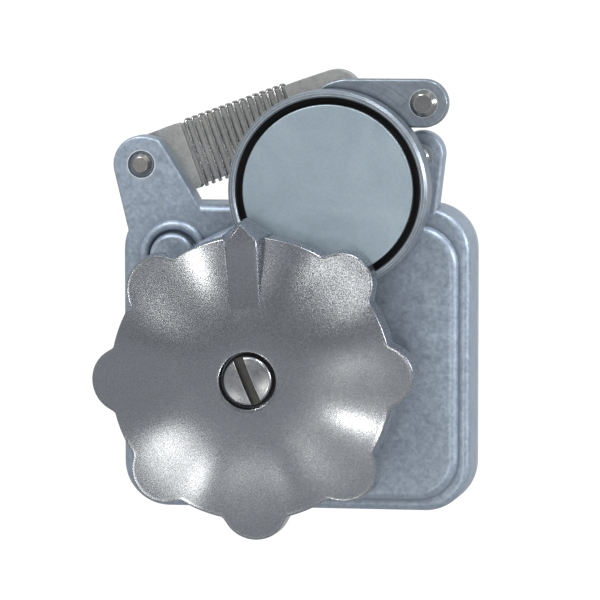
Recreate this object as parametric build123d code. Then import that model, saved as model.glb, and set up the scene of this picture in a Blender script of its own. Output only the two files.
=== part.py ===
"""Lever regulator set by a lobed hand knob: a die-cast box with a snail cam, a swinging
hub with a lug, and a sprung link.

Millimetres. The front faces -Y, +Z is up, and the origin is where the knob's axis meets
the back face that bolts to the wall or machine. A depth is a distance from that face
towards the front, so a depth of 10 is the plane y = -10.
"""
from build123d import *
import math
import os

# ---- driving dimensions -------------------------------------------------------------
GAP = 0.05                        # radial clearance of a running fit
SHEET = 1.6                       # steel sheet of the back plate

HOUSING_LEFT, HOUSING_RIGHT = -30.0, 42.3
HOUSING_BOTTOM, HOUSING_TOP = -28.9, 34.0
HOUSING_CORNER = 9.5
HOUSING_DEPTH = 13.0
WALL = 2.2
DRAFT = 1.5                       # degrees, on the cast outside walls

FIELD_LEFT, FIELD_RIGHT = -27.4, 39.8
FIELD_BOTTOM, FIELD_TOP = -26.3, 30.2
FIELD_CORNER = 8.6
FIELD_DEPTH = 15.0                # face of the raised field
HUMP = (-19.2, 23.3)
HUMP_RADIUS = 4.6
HUMP_DEPTH = 15.8
RIDGE_RADIUS, RIDGE_SECTION, RIDGE_DEPTH = 6.1, 1.2, 12.9   # rounded ridge round the hump

BOLT_SPACING_X, BOLT_SPACING_Z = 56.0, 44.0
BOLT_CENTRE = (8.0, 0.0)
BOLT_HOLE = 2.0                   # radius, tapped M4
BOLT_THREAD = 8.0                 # length of thread in the boss
PLATE_SCREW_PLACES = ((-11.5, -25.6), (24.0, -25.6), (27.5, 30.8), (-8.0, 30.8))
PLATE_SCREW = 1.5                 # radius, M3 countersunk

ARM_AXIS = (14.3, 37.5)           # x, z of the swinging hub
ARM_SWING = 16.0                  # degrees, for half a turn of the knob
CUP_RADIUS = 20.3
CUP_BACK, CUP_FRONT = 16.6, 24.3
DISC_RADIUS = 17.4
SEAL_RADIUS = 18.9
DRIVE_PIN_AT = (33.1, 55.0)
LUG_BACK, LUG_FRONT = 14.9, 18.3
LUG_END = 4.9
DRIVE_PIN, STEM = 2.5, 9.0        # radius and length of the stem that a rod end goes on
DRIVE_PIN_HEAD = 2.8              # radius in the lug and at the front
HUB_BACK, HUB_FRONT = 14.2, 20.2  # hub of the arm, squared on to its shaft
SHAFT_SQUARE = 4.2
LEVER_BACK = 2.9                  # steel lever on the back end of the shaft
TOWER_RADIUS = 8.6                # bearing tower on top of the housing
BEARING_BORE, BEARING_OUTER, BEARING_WIDTH = 3.0, 6.5, 5.0
BEARING_BACK = 8.4

LINK_PIVOT = (-26.0, 41.9)
CRANK = (13.4, 56.2)
PIVOT_PIN = 2.2                   # radius
CRANK_PIN = 2.0
EYE_SLACK = 0.3                   # extra radius of the eye on the crank pin
EAR_BACK, EAR_FRONT = 7.4, HOUSING_DEPTH
LINK_BACK, LINK_FRONT = 2.4, 6.6
TONGUE_BACK, TONGUE_FRONT = 3.2, 5.8
TONGUE_START = 3.0                # along the link from its pivot, as the next three are
POCKET_START = -2.6
COIL_START, COIL_END = 9.3, 32.5
COIL_TOP, COIL_BOTTOM = 5.95, -8.75
COIL_TURNS = 15
WIRE = 0.32                       # radius of the spring wire
COIL_SLACK = 0.05                 # from the tongue to the inside of the coil
COIL_CORNER = 0.5                 # bending radius of the wire at the bar's edges
STOP_PIN_AT = (32.2, 44.1)

KNOB_BACK, KNOB_EDGE = 25.4, 31.4
KNOB_BODY = 29.0                  # radius of the disc that carries the lobes
LOBES = 8
LOBE_RADIUS, LOBE_CENTRE = 6.6, 26.5
LOBE_TURN = 1.5                   # degrees from the horizontal to the first lobe
POINTER_LOBE = 2                  # this lobe is left out for the pointer
POINTER_TURN = 92.7
POINTER_TIP, POINTER_WIDTH = 32.0, 6.4
POINTER_DEPTH = 36.0
GROOVE, GROOVE_TILT = 12.0, 9.2   # radius and fall of the dished flutes between lobes
KNOB_SCREW, SCREW_HEAD = 2.5, 5.0  # radii, M5 pan head
RECESS = 5.75

CAM_BACK, CAM_FRONT = 4.8, 7.8
ROLLER_RADIUS = 3.5
ROLLER_START = 18.0               # roller's centre from the knob's axis at rest
CAM_BASE = 12.5


# ---- small makers -------------------------------------------------------------------
def front(depth):
    """Drawing plane at a depth: x to the right, y up, extruding towards the front."""
    return Plane.XZ.offset(depth)


def slab(face, back, ahead, taper=0.0):
    return extrude(front(back) * face, amount=ahead - back, taper=taper)


def rounded_slab(face, back, ahead, radius):
    """A slab whose front edge is rounded, as on a casting."""
    body = slab(face, back, ahead)
    return fillet(body.edges().group_by(Axis.Y)[0], radius)


def rod(at, radius, back, ahead):
    return slab(Pos(*at) * Circle(radius), back, ahead)


def ring(at, outer, inner, back, ahead):
    return slab(Pos(*at) * (Circle(outer) - Circle(inner)), back, ahead)


def lathe(at, profile):
    """Turn a profile of (radius, depth) points about an axis that runs front to back."""
    face = Polygon(*[(radius, -depth) for radius, depth in profile], align=None)
    return Pos(at[0], 0, at[1]) * revolve(face, Axis.Y)


def pointed_rod(at, radius, back, ahead, chamfer_size):
    """A pin with its front edge turned to a chamfer."""
    pin = rod(at, radius, back, ahead)
    return chamfer(pin.edges().group_by(Axis.Y)[0], chamfer_size)


def box_outline(left, right, bottom, top, corner):
    centre = Pos((left + right) / 2, (bottom + top) / 2)
    return centre * RectangleRounded(right - left, top - bottom, corner)


def strap(a, radius_a, b, radius_b):
    """The outline of a strap that wraps two circles."""
    circles = Pos(*a) * Circle(radius_a) + Pos(*b) * Circle(radius_b)
    return make_hull(circles.edges())


def bolt_places():
    x, z = BOLT_SPACING_X / 2, BOLT_SPACING_Z / 2
    return [(BOLT_CENTRE[0] + i * x, BOLT_CENTRE[1] + k * z) for i in (-1, 1) for k in (-1, 1)]


def turned(point, degrees, centre=(0.0, 0.0)):
    angle = math.radians(degrees)
    x, z = point[0] - centre[0], point[1] - centre[1]
    return (centre[0] + x * math.cos(angle) - z * math.sin(angle),
            centre[1] + x * math.sin(angle) + z * math.cos(angle))


# ---- housing and back plate ---------------------------------------------------------
def tower_outline(radius, low):
    width = 2 * radius
    foot = Pos(ARM_AXIS[0], (ARM_AXIS[1] + low) / 2) * Rectangle(width, ARM_AXIS[1] - low)
    return foot + Pos(*ARM_AXIS) * Circle(radius)


def left_ear_outline():
    ear = Pos(*LINK_PIVOT) * Circle(5.9)
    foot_left = Pos(-26.4, 27.0) * Circle(2.0)
    foot_right = Pos(-12.7, 27.8) * Circle(2.0)
    shoulder = Pos(-23.4, 45.6) * Circle(1.6)
    return make_hull((ear + foot_left + foot_right + shoulder).edges())


def right_ear_outline():
    return strap((31.7, 44.4), 4.8, (30.6, 33.5), 4.6)


def field_outline():
    """Rounded rectangle whose top left corner slopes from the hump up to the cup."""
    field = box_outline(FIELD_LEFT, FIELD_RIGHT, FIELD_BOTTOM, FIELD_TOP, FIELD_CORNER)
    slope = Pos(-14.9, 25.7) * Rot(0, 0, 26) * Pos(-10, 10) * Rectangle(60, 20)
    return field - slope


def make_housing():
    outline = box_outline(HOUSING_LEFT, HOUSING_RIGHT, HOUSING_BOTTOM, HOUSING_TOP, HOUSING_CORNER)
    shell = slab(outline, SHEET, HOUSING_DEPTH, DRAFT)
    shell = fillet(shell.faces().sort_by(Axis.Y)[0].edges(), 1.6)
    shell += rounded_slab(field_outline(), HOUSING_DEPTH - 1.0, FIELD_DEPTH, 1.9)
    shell += rounded_slab(Pos(*HUMP) * Circle(HUMP_RADIUS), HOUSING_DEPTH - 1.0, HUMP_DEPTH, 0.9)
    shell += slab(tower_outline(TOWER_RADIUS, 28.0), SHEET, CUP_BACK - 1.2)
    shell += rounded_slab(left_ear_outline(), EAR_BACK, EAR_FRONT, 0.6)
    shell += rounded_slab(right_ear_outline(), EAR_BACK, EAR_FRONT, 0.6)
    ridge = Pos(HUMP[0], -RIDGE_DEPTH, HUMP[1]) * Rot(90, 0, 0) * Torus(RIDGE_RADIUS, RIDGE_SECTION)
    shell += ridge & rod(HUMP, RIDGE_RADIUS + 3.0, HOUSING_DEPTH - 1.5, HUMP_DEPTH)

    inside = box_outline(HOUSING_LEFT + WALL, HOUSING_RIGHT - WALL, HOUSING_BOTTOM + WALL,
                         HOUSING_TOP - WALL, HOUSING_CORNER - WALL)
    cavity_front = HOUSING_DEPTH - WALL
    shell -= slab(inside, SHEET, cavity_front)
    shell -= slab(tower_outline(TOWER_RADIUS - 1.7, 28.0), SHEET, BEARING_BACK - 0.6)

    for place in bolt_places():
        shell += rod(place, 4.0, SHEET, cavity_front)
        shell -= rod(place, BOLT_HOLE, SHEET, SHEET + BOLT_THREAD)
    for place in PLATE_SCREW_PLACES:
        shell += rod(place, 2.7, SHEET, cavity_front)
        shell -= rod(place, PLATE_SCREW, SHEET, SHEET + 7.0)

    shell += rod((0, 0), 9.6, 9.2, 16.0)
    shell -= rod((0, 0), 7.0, 9.2, 16.0)
    shell -= rod(ARM_AXIS, 5.6, SHEET, CUP_BACK)
    shell -= rod(ARM_AXIS, BEARING_OUTER, BEARING_BACK, CUP_BACK)
    shell -= ring(ARM_AXIS, BEARING_OUTER + 0.5, 1.0, *RETAINER_DEPTHS)
    shell -= rod(LINK_PIVOT, PIVOT_PIN, EAR_BACK, EAR_FRONT)
    shell -= ring(LINK_PIVOT, PIVOT_PIN + 0.6, PIVOT_PIN - 0.5, EAR_FRONT - 0.8, EAR_FRONT)
    shell -= rod(STOP_PIN_AT, 1.6, EAR_BACK, EAR_FRONT)
    return shell


RETAINER_DEPTHS = (BEARING_BACK + BEARING_WIDTH, BEARING_BACK + BEARING_WIDTH + 0.7)


def make_back_plate():
    outline = box_outline(HOUSING_LEFT, HOUSING_RIGHT, HOUSING_BOTTOM, HOUSING_TOP, HOUSING_CORNER)
    outline += tower_outline(TOWER_RADIUS, 28.0)
    outline += strap(LINK_PIVOT, 5.2, (-22.0, 31.0), 7.0)
    plate = slab(outline, 0, SHEET)
    for place in bolt_places():
        plate -= rod(place, BOLT_HOLE, 0, SHEET)
    for place in PLATE_SCREW_PLACES:
        plate -= countersunk(place)
    plate -= rod(LINK_PIVOT, 1.6, 0, SHEET)
    return plate


def countersunk(place):
    """The space that a countersunk screw takes in the sheet."""
    head = loft([front(0) * Pos(*place) * Circle(2.9), front(1.4) * Pos(*place) * Circle(PLATE_SCREW)])
    return head + rod(place, PLATE_SCREW, 1.4, SHEET)


def make_plate_screws():
    screws = []
    for place in PLATE_SCREW_PLACES:
        screw = countersunk(place) + rod(place, PLATE_SCREW, SHEET, SHEET + 6.0)
        screw -= slab(Pos(*place) * Rectangle(0.9, 3.0), 0, 0.9)
        screw -= slab(Pos(*place) * Rectangle(3.0, 0.9), 0, 0.9)
        screws.append(screw)
    return Compound(children=screws)


# ---- knob, spindle and cam ----------------------------------------------------------
def make_spindle_bush():
    bush = ring((0, 0), 7.0, 5.0, 9.2, 16.0)
    return bush + ring((0, 0), 8.6, 5.0, 16.0, 17.0)


def make_spindle():
    spindle = rod((0, 0), 5.0 - GAP, 9.1, 18.2)
    spindle += rod((0, 0), 7.6, CAM_FRONT, 9.1)
    spindle += slab(RectangleRounded(7.0, 7.0, 0.6), 2.6, CAM_FRONT)
    spindle += slab(RectangleRounded(7.0, 7.0, 0.6), 18.2, 31.0)
    spindle -= ring((0, 0), 6.0, 3.1, 3.8, 4.6)
    spindle -= rod((0, 0), KNOB_SCREW, 19.0, 31.0)
    return spindle


def make_cam_clip():
    clip = ring((0, 0), 5.6, 3.1, 3.85, 4.55)
    return clip - slab(Pos(0, -4.5) * Rectangle(4.6, 6.0), 3.85, 4.55)


def roller_centre(knob_degrees):
    """Centre of the roller when the knob has turned clockwise by this much."""
    reach = math.hypot(*ARM_AXIS)
    side = math.degrees(math.acos(ROLLER_START / reach))
    toward_arm = math.degrees(math.atan2(ARM_AXIS[1], ARM_AXIS[0]))
    rest = turned((ROLLER_START, 0), toward_arm - side)
    return turned(rest, ARM_SWING * knob_degrees / 180.0, ARM_AXIS)


def cam_edge(knob_degrees):
    """Point of the cam's edge that meets the roller, in the cam's rest position."""
    step = 0.5
    before = turned(roller_centre(knob_degrees - step), knob_degrees - step)
    after = turned(roller_centre(knob_degrees + step), knob_degrees + step)
    here = turned(roller_centre(knob_degrees), knob_degrees)
    run = math.hypot(after[0] - before[0], after[1] - before[1])
    inward = (-(after[1] - before[1]) / run, (after[0] - before[0]) / run)
    reach = ROLLER_RADIUS + 2 * GAP
    return (here[0] + inward[0] * reach, here[1] + inward[1] * reach)


def make_snail_cam():
    edge = [cam_edge(angle) for angle in range(-9, 190, 9)]
    first, last = edge[0], edge[-1]
    start = math.degrees(math.atan2(last[1], last[0]))
    stop = math.degrees(math.atan2(first[1], first[0]))
    turn = (stop - start) % 360.0
    drop = (CAM_BASE * math.cos(math.radians(start)), CAM_BASE * math.sin(math.radians(start)))
    middle = turned(drop, turn / 2)
    rise = turned(drop, turn)
    outline = Wire([Spline(*edge), Line(last, drop), ThreePointArc(drop, middle, rise), Line(rise, first)])
    return slab(make_face(outline) - Rectangle(7.0, 7.0), CAM_BACK, CAM_FRONT)


def knob_outline():
    """Disc with a lobe at every eighth of a turn but one, where the pointer stands."""
    outline = Circle(KNOB_BODY)
    for lobe in range(LOBES):
        if lobe != POINTER_LOBE:
            outline += Rot(0, 0, LOBE_TURN + lobe * 360 / LOBES) * Pos(LOBE_CENTRE, 0) * Circle(LOBE_RADIUS)
    return fillet(outline.vertices(), 3.5)


def knob_dome():
    """Solid of revolution under the knob's domed face."""
    profile = [(0, 36.6), (7, 36.5), (16, 35.6), (26, 33.3), (34, KNOB_EDGE - 0.4)]
    crown = Spline(*[(radius, -depth) for radius, depth in profile])
    sides = Polyline(crown @ 1, (34, -KNOB_BACK), (0, -KNOB_BACK), crown @ 0)
    return revolve(make_face(Wire([crown, *sides.edges()])), Axis.Y)


def pointer_outline():
    """Foot of the pointer, drawn along x: its drafted sides narrow it to POINTER_WIDTH."""
    half_width = POINTER_WIDTH / 2 + 1.0
    tip = POINTER_TIP + 1.1
    shoulder = tip - 1.12 * half_width
    return Polygon((12.0, -half_width), (shoulder, -half_width), (tip, 0),
                   (shoulder, half_width), (12.0, half_width), align=None)


def make_knob():
    knob = slab(knob_outline(), KNOB_BACK, 37.0, 2.0) & knob_dome()
    for lobe in range(LOBES):
        groove = Rot(0, 0, GROOVE_TILT) * Pos(20.0, 0, 0) * Rot(0, 90, 0) * Cylinder(GROOVE, 40.0)
        groove = Pos(0, -GROOVE - 36.3, 0) * groove
        knob -= Rot(0, -(LOBE_TURN + (lobe + 0.5) * 360 / LOBES), 0) * groove
    pointer = Rot(0, 0, POINTER_TURN) * pointer_outline()
    knob += slab(pointer, KNOB_BACK, 30.0)
    knob += slab(pointer, 30.0, POINTER_DEPTH, 10.0)
    hollow = slab(offset(knob_outline(), -2.2), KNOB_BACK, 30.0, 12.0)
    knob -= hollow & rod((0, 0), 40.0, KNOB_BACK, 29.4)
    for rib in range(LOBES // 2):
        bar = Rot(0, 0, LOBE_TURN + rib * 45) * Rectangle(56.0, 1.6)
        knob += slab(bar, KNOB_BACK + 0.8, 30.0)
    knob += rod((0, 0), 7.6, 18.2, 31.0)
    knob -= slab(RectangleRounded(7.0, 7.0, 0.6), 18.2, 31.0)
    knob -= rod((0, 0), 3.2, 31.0, 33.0)
    knob -= rod((0, 0), RECESS, 33.0, 38.0)
    return knob


def make_knob_screw():
    head = rod((0, 0), SCREW_HEAD, 33.8, 37.0)
    head = fillet(head.edges().group_by(Axis.Y)[0], 0.7)
    head -= slab(Rot(0, 0, -67.5) * Rectangle(12.0, 2.1), 35.6, 38.0)
    return head + rod((0, 0), KNOB_SCREW, 20.0, 33.8)


# ---- swinging arm on its bearing ----------------------------------------------------
def make_swing_arm():
    cup = lathe(ARM_AXIS, [(0, CUP_BACK), (CUP_RADIUS - 0.6, CUP_BACK), (CUP_RADIUS + 0.2, CUP_BACK + 0.8),
                           (CUP_RADIUS, CUP_FRONT - 0.5), (CUP_RADIUS - 0.5, CUP_FRONT),
                           (SEAL_RADIUS + 0.3, CUP_FRONT), (SEAL_RADIUS, CUP_FRONT - 0.4),
                           (SEAL_RADIUS, 21.6), (16.4, 21.6), (16.4, 18.8), (0, 18.8)])
    root = Pos(17.6, DRIVE_PIN_AT[1] + LUG_END - 10.0) * Circle(10.0)
    lug = strap(DRIVE_PIN_AT, LUG_END, (17.6, DRIVE_PIN_AT[1]), LUG_END) + root
    lug = slab(lug, LUG_BACK, LUG_FRONT)
    lug = fillet(lug.edges().group_by(Axis.Y)[0], 0.5)
    arm = cup + (lug - rod(ARM_AXIS, 11.0, LUG_BACK, CUP_BACK))
    arm += rod(ARM_AXIS, 4.6, HUB_BACK, HUB_FRONT)
    arm += rod(CRANK, 4.0, 8.2, CUP_BACK) & slab(root + Pos(*ARM_AXIS) * Circle(CUP_RADIUS), 8.2, CUP_BACK)
    arm -= slab(Pos(*ARM_AXIS) * Rectangle(SHAFT_SQUARE, SHAFT_SQUARE), HUB_BACK, HUB_FRONT)
    arm -= rod(CRANK, CRANK_PIN, 8.2, 15.4)
    arm -= rod(DRIVE_PIN_AT, DRIVE_PIN_HEAD, LUG_BACK, LUG_FRONT)
    return arm


def make_arm_shaft():
    square = Pos(*ARM_AXIS) * Rectangle(SHAFT_SQUARE, SHAFT_SQUARE)
    shoulder = LEVER_BACK + SHEET
    shaft = rod(ARM_AXIS, 2.0, SHEET + 0.3, 21.4)
    shaft += slab(square, LEVER_BACK, shoulder)
    shaft += rod(ARM_AXIS, 4.4, shoulder, BEARING_BACK)
    shaft += rod(ARM_AXIS, BEARING_BORE, BEARING_BACK, HUB_BACK)
    return shaft + slab(square, HUB_BACK, HUB_FRONT)


def make_arm_nut():
    return slab(Pos(*ARM_AXIS) * (RegularPolygon(4.0, 6) - Circle(2.0)), HUB_FRONT, 21.4)


def make_follower_lever():
    lever = strap(ARM_AXIS, 3.4, roller_centre(0), 3.4) + Pos(*ARM_AXIS) * Circle(4.8)
    lever -= Pos(*ARM_AXIS) * Rectangle(SHAFT_SQUARE, SHAFT_SQUARE)
    lever -= Pos(*roller_centre(0)) * Circle(1.5)
    return slab(lever, LEVER_BACK, LEVER_BACK + SHEET)


def make_drive_pin():
    end = LUG_BACK - STEM
    return lathe(DRIVE_PIN_AT, [(0, end), (DRIVE_PIN - 0.5, end), (DRIVE_PIN, end + 0.5),
                                (DRIVE_PIN, LUG_BACK), (DRIVE_PIN_HEAD, LUG_BACK),
                                (DRIVE_PIN_HEAD, LUG_FRONT + 0.3), (DRIVE_PIN_HEAD - 0.8, LUG_FRONT + 1.1),
                                (0, LUG_FRONT + 1.1)])


def make_crank_pin():
    pin = rod(CRANK, CRANK_PIN, 1.0, 15.4)
    return pin - ring(CRANK, CRANK_PIN + 0.5, CRANK_PIN - 0.4, 1.5, 2.1)


def make_crank_clip():
    clip = ring(CRANK, 3.6, CRANK_PIN - 0.4, 1.5, 2.1)
    return clip - slab(Pos(CRANK[0], CRANK[1] - 3.0) * Rectangle(2.6, 4.0), 1.5, 2.1)


def ball_places():
    middle = (BEARING_BORE + BEARING_OUTER) / 2
    return [turned((ARM_AXIS[0] + middle, ARM_AXIS[1]), ball * 360 / 8, ARM_AXIS) for ball in range(8)]


def ball_track(radius):
    middle = (BEARING_BORE + BEARING_OUTER) / 2
    depth = BEARING_BACK + BEARING_WIDTH / 2
    return Pos(ARM_AXIS[0], -depth, ARM_AXIS[1]) * Rot(90, 0, 0) * Torus(middle, radius)


def make_bearing_outer_race():
    race = ring(ARM_AXIS, BEARING_OUTER, 5.5, BEARING_BACK, BEARING_BACK + BEARING_WIDTH)
    return race - ball_track(1.05)


def make_bearing_inner_race():
    race = ring(ARM_AXIS, 4.0, BEARING_BORE, BEARING_BACK, BEARING_BACK + BEARING_WIDTH)
    return race - ball_track(1.05)


def make_bearing_balls():
    depth = BEARING_BACK + BEARING_WIDTH / 2
    return Compound(children=[Pos(x, -depth, z) * Sphere(1.0) for x, z in ball_places()])


def make_bearing_cage():
    depth = BEARING_BACK + BEARING_WIDTH / 2
    cage = ring(ARM_AXIS, 5.2, 4.3, depth - 1.7, depth + 1.7)
    for ball in range(8):
        pocket = Pos(5.0, 0, 0) * Rot(0, 90, 0) * Cylinder(1.06, 4.0)
        cage -= Pos(ARM_AXIS[0], -depth, ARM_AXIS[1]) * Rot(0, -ball * 360 / 8, 0) * pocket
    return cage


def make_bearing_retainer():
    back, ahead = RETAINER_DEPTHS
    clip = ring(ARM_AXIS, BEARING_OUTER + 0.5, 5.7, back, ahead)
    return clip - slab(Pos(ARM_AXIS[0], ARM_AXIS[1] + 6.5) * Rectangle(3.0, 3.0), back, ahead)


def make_dust_seal():
    return lathe(ARM_AXIS, [(16.4, 21.6), (SEAL_RADIUS, 21.6), (SEAL_RADIUS, 22.6), (18.1, 22.3),
                            (DISC_RADIUS, 22.6), (DISC_RADIUS, 22.2), (16.4, 22.2)])


def make_cap_disc():
    disc = rod(ARM_AXIS, DISC_RADIUS, 22.2, 23.7)
    return fillet(disc.edges().group_by(Axis.Y)[0], 0.3)


# ---- sprung link --------------------------------------------------------------------
def link_angle():
    return math.degrees(math.atan2(CRANK[1] - LINK_PIVOT[1], CRANK[0] - LINK_PIVOT[0]))


def link_length():
    return math.hypot(CRANK[0] - LINK_PIVOT[0], CRANK[1] - LINK_PIVOT[1])


def along_link(face, back, ahead):
    """A face drawn along the link, with its pivot at the drawing's origin."""
    return slab(Pos(*LINK_PIVOT) * Rot(0, 0, link_angle()) * face, back, ahead)


def make_link_yoke():
    head_top, head_bottom = COIL_TOP - 0.35, COIL_BOTTOM + 0.2
    head = Pos(COIL_START / 2 + 2.5, (head_top + head_bottom) / 2) * RectangleRounded(
        COIL_START - 5.0, head_top - head_bottom, 1.0)
    outline = make_hull((Circle(5.45) + head).edges())
    yoke = along_link(outline, LINK_BACK, LINK_FRONT)
    pocket = Polygon((POCKET_START, -12.0), (COIL_START + 5.0, -12.0), (COIL_START + 5.0, 12.0),
                     (POCKET_START, 12.0), align=None)
    yoke -= along_link(pocket, TONGUE_BACK - GAP, TONGUE_FRONT + GAP)
    return yoke - along_link(Circle(PIVOT_PIN + GAP), LINK_BACK, LINK_FRONT)


def make_link_bar():
    """Flat bar whose tongue fills the coil and slides between the yoke's cheeks."""
    length = link_length()
    top, bottom = COIL_TOP - 2 * WIRE - COIL_SLACK, COIL_BOTTOM + 2 * WIRE + COIL_SLACK
    tongue = Polygon((TONGUE_START, top), (TONGUE_START, -4.5), (COIL_START - 0.1, bottom),
                     (COIL_END + 2.0, bottom), (COIL_END + 2.0, top), align=None)
    fork = SlotOverall(2 * (TONGUE_START + 6.0), 2 * PIVOT_PIN + 0.4)
    bar = along_link(tongue - fork, TONGUE_BACK, TONGUE_FRONT)
    head_top, head_bottom = COIL_TOP - 0.6, -7.2
    middle = Pos(COIL_END + 2.0, (head_top + head_bottom) / 2)
    shoulder = middle * RectangleRounded(4.0, head_top - head_bottom, 0.8)
    head = make_hull((shoulder + Pos(length, 0) * Circle(5.2)).edges())
    bar += along_link(head, LINK_BACK, LINK_FRONT)
    return bar - along_link(Pos(length, 0) * Circle(CRANK_PIN + EYE_SLACK), LINK_BACK, LINK_FRONT)


def make_link_spring():
    """Flat-sided coil: four corners a turn, each a quarter of the pitch further on."""
    pitch = (COIL_END - COIL_START - 2 * WIRE) / COIL_TURNS
    top, bottom = COIL_TOP - WIRE, COIL_BOTTOM + WIRE
    near, far = TONGUE_BACK - COIL_SLACK - WIRE, TONGUE_FRONT + COIL_SLACK + WIRE
    corners = ((bottom, near), (bottom, far), (top, far), (top, near))
    points = []
    for step in range(4 * COIL_TURNS + 1):
        v, depth = corners[step % 4]
        u = COIL_START + WIRE + step * pitch / 4
        points.append((u, -depth, v))
    path = FilletPolyline(*points, radius=COIL_CORNER)
    section = Plane(origin=path @ 0, z_dir=path % 0) * Circle(WIRE)
    coil = sweep(section, path=path)
    return Pos(LINK_PIVOT[0], 0, LINK_PIVOT[1]) * Rot(0, -link_angle(), 0) * coil


# ---- every piece --------------------------------------------------------------------
def make_parts():
    roller = roller_centre(0)
    return {
        "housing": make_housing(),
        "back_plate": make_back_plate(),
        "plate_screws": make_plate_screws(),
        "spindle_bush": make_spindle_bush(),
        "friction_washer": ring((0, 0), 7.6, 5.4, 17.0, 18.2 - GAP),
        "link_pivot_pin": pointed_rod(LINK_PIVOT, PIVOT_PIN, SHEET, EAR_FRONT + 1.0, 0.45)
        + rod(LINK_PIVOT, 1.6, 0, SHEET),
        "stop_pin": pointed_rod(STOP_PIN_AT, 1.6, EAR_BACK - 0.4, 15.9, 0.3),
        "stop_sleeve": ring(STOP_PIN_AT, 2.55, 1.6, EAR_FRONT, 15.5),
        "bearing_outer_race": make_bearing_outer_race(),
        "bearing_retainer": make_bearing_retainer(),
        "spindle": make_spindle(),
        "snail_cam": make_snail_cam(),
        "cam_clip": make_cam_clip(),
        "knob": make_knob(),
        "knob_washer": ring((0, 0), 5.5, KNOB_SCREW, 33.0, 33.8),
        "knob_screw": make_knob_screw(),
        "swing_arm": make_swing_arm(),
        "arm_shaft": make_arm_shaft(),
        "arm_nut": make_arm_nut(),
        "bearing_inner_race": make_bearing_inner_race(),
        "bearing_balls": make_bearing_balls(),
        "bearing_cage": make_bearing_cage(),
        "follower_lever": make_follower_lever(),
        "lever_clip": ring(ARM_AXIS, 3.6, 2.0, LEVER_BACK - 0.6, LEVER_BACK),
        "roller_pin": rod(roller, 1.5, LEVER_BACK, 8.0) + rod(roller, 2.3, 8.0, 8.5),
        "cam_roller": ring(roller, ROLLER_RADIUS, 1.5 + GAP, 4.9, 7.8),
        "cap_disc": make_cap_disc(),
        "dust_seal": make_dust_seal(),
        "drive_pin": make_drive_pin(),
        "crank_pin": make_crank_pin(),
        "crank_clip": make_crank_clip(),
        "link_bar": make_link_bar(),
        "link_yoke": make_link_yoke(),
        "link_spring": make_link_spring(),
    }


os.makedirs("parts", exist_ok=True)
for name, shape in make_parts().items():
    export_step(shape, "parts/" + name + ".step")
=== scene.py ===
import bpy
import math
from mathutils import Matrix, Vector


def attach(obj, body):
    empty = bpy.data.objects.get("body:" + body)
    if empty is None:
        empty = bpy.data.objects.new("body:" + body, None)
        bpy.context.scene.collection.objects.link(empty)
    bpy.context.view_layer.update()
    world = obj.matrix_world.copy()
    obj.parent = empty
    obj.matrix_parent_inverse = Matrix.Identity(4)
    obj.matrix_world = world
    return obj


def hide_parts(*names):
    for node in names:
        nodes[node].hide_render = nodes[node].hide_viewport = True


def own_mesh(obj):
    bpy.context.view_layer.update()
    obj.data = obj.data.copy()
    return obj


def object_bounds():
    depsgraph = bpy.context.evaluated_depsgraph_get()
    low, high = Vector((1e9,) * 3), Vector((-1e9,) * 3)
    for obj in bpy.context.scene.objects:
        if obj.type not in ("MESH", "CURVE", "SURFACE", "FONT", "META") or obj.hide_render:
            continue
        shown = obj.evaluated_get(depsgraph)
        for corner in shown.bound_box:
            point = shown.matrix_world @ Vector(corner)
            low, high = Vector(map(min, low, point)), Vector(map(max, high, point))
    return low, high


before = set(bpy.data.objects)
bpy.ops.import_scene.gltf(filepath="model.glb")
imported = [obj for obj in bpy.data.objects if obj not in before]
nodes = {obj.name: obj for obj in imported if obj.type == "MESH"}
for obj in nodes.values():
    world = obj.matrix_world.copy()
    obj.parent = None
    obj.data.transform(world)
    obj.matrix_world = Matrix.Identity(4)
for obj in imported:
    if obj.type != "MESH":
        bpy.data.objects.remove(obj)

cad_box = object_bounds()
MM = 0.001


# ---- camera --------------------------------------------------------------------------
# A long lens, a little to the right of the knob's axis and just above it, so that the
# right-hand walls of the knob, the cup and the housing show as thin bands.
AIM = Vector((10.35, -33.92, 16.24)) * MM
CAMERA_TURN = math.radians(9)
CAMERA_RISE = math.radians(5)
CAMERA_AWAY = 0.9
bpy.ops.object.camera_add()
camera = bpy.context.object
camera.name = "camera"
camera.location = AIM + CAMERA_AWAY * Vector((
    math.sin(CAMERA_TURN) * math.cos(CAMERA_RISE),
    -math.cos(CAMERA_TURN) * math.cos(CAMERA_RISE),
    math.sin(CAMERA_RISE)))
camera.rotation_euler = (AIM - camera.location).to_track_quat("-Z", "Y").to_euler()
camera.data.lens = 270
camera.data.sensor_width = 36
camera.data.clip_end = 50
bpy.context.scene.camera = camera


# ---- studio --------------------------------------------------------------------------
# A white paper floor well below the part, which throws up less light than it shows. The
# surround is a pale tent, darker where the flat faces mirror it into the lens, so they read
# as mid grey and slopes catch the cloth.
FLOOR_DROP = 0.25
FLOOR_THROW = 0.55
bpy.ops.mesh.primitive_plane_add(size=40, location=(0, 0, cad_box[0][2] - FLOOR_DROP))
floor = bpy.context.object
floor.name = "floor"
paper = bpy.data.materials.new("white_paper")
paper.use_nodes = True
sheet = paper.node_tree.nodes["Principled BSDF"]
seen = paper.node_tree.nodes.new("ShaderNodeLightPath")
glow = paper.node_tree.nodes.new("ShaderNodeMapRange")
glow.inputs["To Min"].default_value = FLOOR_THROW
glow.inputs["To Max"].default_value = 1.0
paper.node_tree.links.new(seen.outputs["Is Camera Ray"], glow.inputs["Value"])
paper.node_tree.links.new(glow.outputs["Result"], sheet.inputs["Emission Strength"])
sheet.inputs["Base Color"].default_value = (0.03, 0.03, 0.03, 1)
sheet.inputs["Roughness"].default_value = 0.9
sheet.inputs["Emission Color"].default_value = (1, 1, 1, 1)
floor.data.materials.append(paper)

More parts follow.
